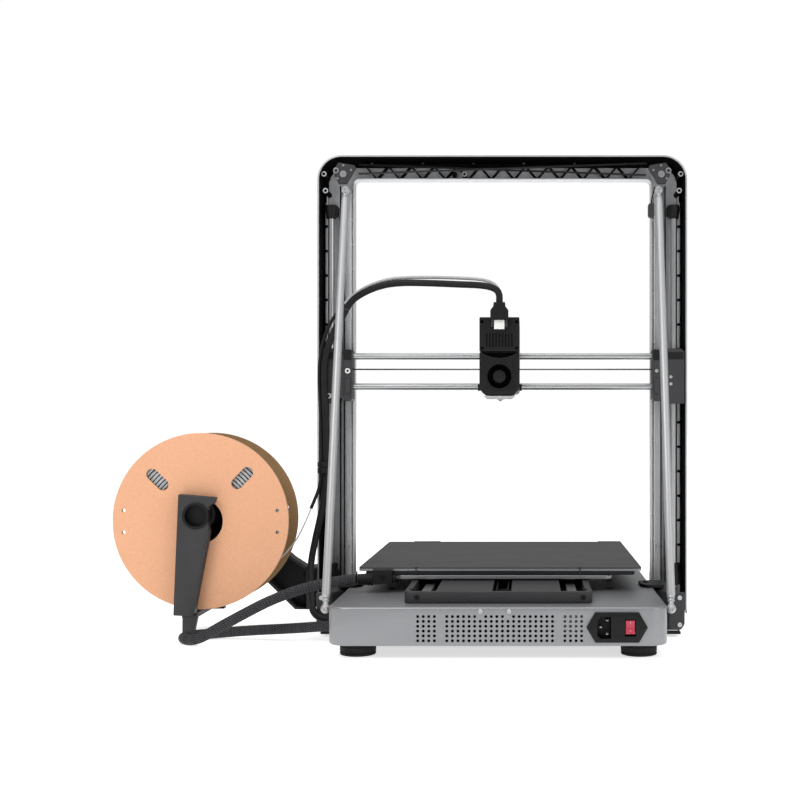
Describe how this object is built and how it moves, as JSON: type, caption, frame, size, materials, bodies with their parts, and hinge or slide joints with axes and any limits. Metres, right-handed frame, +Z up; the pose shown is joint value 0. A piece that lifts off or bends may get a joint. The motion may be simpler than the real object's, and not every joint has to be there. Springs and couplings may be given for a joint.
{
  "type": "fdm printer",
  "caption": "Desktop filament printer with a cast portal frame, moving beam and head, sliding heated bed, braced base box and a side-mounted filament spool.",
  "frame": {"origin": "under the middle of the bounding box of the printer with its spool, without its cords, on the surface it stands on", "axes": "+X towards the spool side, +Y towards the mains inlet at the back, +Z up"},
  "size_m": [0.663, 0.4946, 0.564],
  "materials": {
    "satin_aluminium": "satin anodised with a fine vertical sheen",
    "cast_frame": "dark grey painted casting",
    "build_surface": "fine textured dark grey coating",
    "steel": "ground and polished",
    "black_plastic": "fine moulded texture",
    "dark_grey_plastic": "fine moulded texture",
    "rubber": "matt rubber",
    "cardboard": "pressed kraft cardboard",
    "white_plastic": "smooth",
    "red_switch": "moulded",
    "screen": "polished dark panel",
    "circuit_board": "solder mask",
    "supply_case": "folded perforated case",
    "braided_sleeve": "braided polyester sleeve"
  },
  "bodies": {
    "chassis": {"base_bottom_cover": "dark_grey_plastic", "base_shell": "satin_aluminium", "bed_cable": "braided_sleeve", "brace_left": "steel", "brace_right": "steel", "display_pod": "black_plastic", "display_screen": "screen", "feed_tube_lower": "white_plastic", "filament": "white_plastic", "foot_back_left": "rubber", "foot_back_right": "rubber", "foot_bracket_left": "black_plastic", "foot_bracket_right": "black_plastic", "foot_front_left": "rubber", "foot_front_right": "rubber", "gantry_frame": "cast_frame", "head_cable_lower": "braided_sleeve", "holder_arm": "black_plastic", "holder_tube": "black_plastic", "holder_upright": "dark_grey_plastic", "mainboard": "circuit_board", "power_inlet": "black_plastic", "power_supply": "supply_case", "pulley_plate_left": "dark_grey_plastic", "pulley_plate_right": "dark_grey_plastic", "rail_housing": "dark_grey_plastic", "top_belt_left": "rubber", "top_belt_right": "rubber", "xz_motor_left": "black_plastic", "xz_motor_right": "black_plastic", "y_belt": "rubber", "y_motor": "black_plastic", "y_rail_left": "steel", "y_rail_right": "steel", "z_rod_left": "steel", "z_rod_right": "steel"},
    "rocker": {"rocker_switch": "red_switch"},
    "y_drive": {"y_pulley": "steel"},
    "bed": {"bed_carriage": "satin_aluminium", "heater_bed": "satin_aluminium", "build_plate": "build_surface", "bed_strain_relief": "black_plastic"},
    "beam": {"z_carriage_left": "black_plastic", "z_carriage_right": "black_plastic", "x_rod_upper": "steel", "x_rod_lower": "steel", "x_belt": "rubber", "head_cable_upper": "braided_sleeve", "feed_tube_upper": "white_plastic"},
    "head": {"head_carriage": "black_plastic", "head_shell": "black_plastic", "extruder_box": "black_plastic", "head_front_cover": "dark_grey_plastic", "hot_end": "steel", "cable_plug": "black_plastic"},
    "fan": {"fan_rotor": "black_plastic"},
    "idler_left": {"top_idler_left": "steel"},
    "idler_right": {"top_idler_right": "steel"},
    "spool_body": {"spool": "cardboard", "filament_winding": "white_plastic"}
  },
  "joints": [
    {"name": "rocker_hinge", "type": "hinge", "parent": "chassis", "child": "rocker", "pos_m": [-0.2437, 0.2412, 0.033], "axis": [1, 0, 0], "range_deg": [-16, 0]},
    {"name": "bed_slide", "type": "slide", "parent": "chassis", "child": "bed", "axis": [0, 1, 0], "range_m": [-0.1215, 0.1785], "deforming": ["bed_cable"]},
    {"name": "y_pulley_spin", "type": "hinge", "parent": "chassis", "child": "y_drive", "pos_m": [-0.1125, -0.1363, 0.061], "axis": [0, 0, 1], "range_deg": [-1100, 1620]},
    {"name": "z_slide", "type": "slide", "parent": "chassis", "child": "beam", "axis": [0, 0, 1], "range_m": [-0.187, 0.142], "deforming": ["head_cable_lower", "feed_tube_lower"]},
    {"name": "x_slide", "type": "slide", "parent": "beam", "child": "head", "axis": [1, 0, 0], "range_m": [-0.153, 0.148], "deforming": ["head_cable_upper", "feed_tube_upper"]},
    {"name": "fan_spin", "type": "hinge", "parent": "head", "child": "fan", "pos_m": [-0.1063, 0.0337, 0.2963], "axis": [0, 1, 0], "continuous": true},
    {"name": "idler_left_spin", "type": "hinge", "parent": "chassis", "child": "idler_left", "pos_m": [-0.299, -0.0023, 0.545], "axis": [0, 1, 0], "range_deg": [-1320, 1000]},
    {"name": "idler_right_spin", "type": "hinge", "parent": "chassis", "child": "idler_right", "pos_m": [0.081, -0.0023, 0.545], "axis": [0, 1, 0], "range_deg": [-1000, 1320]},
    {"name": "spool_spin", "type": "hinge", "parent": "chassis", "child": "spool_body", "pos_m": [0.2315, 0.0637, 0.13], "axis": [0, 1, 0], "continuous": true}
  ],
  "couplings": [
    {"joint": "y_pulley_spin", "follows": "bed_slide", "rad_per_m": 156.25},
    {"joint": "idler_left_spin", "follows": "z_slide", "rad_per_m": 122},
    {"joint": "idler_right_spin", "follows": "z_slide", "rad_per_m": -122}
  ]
}
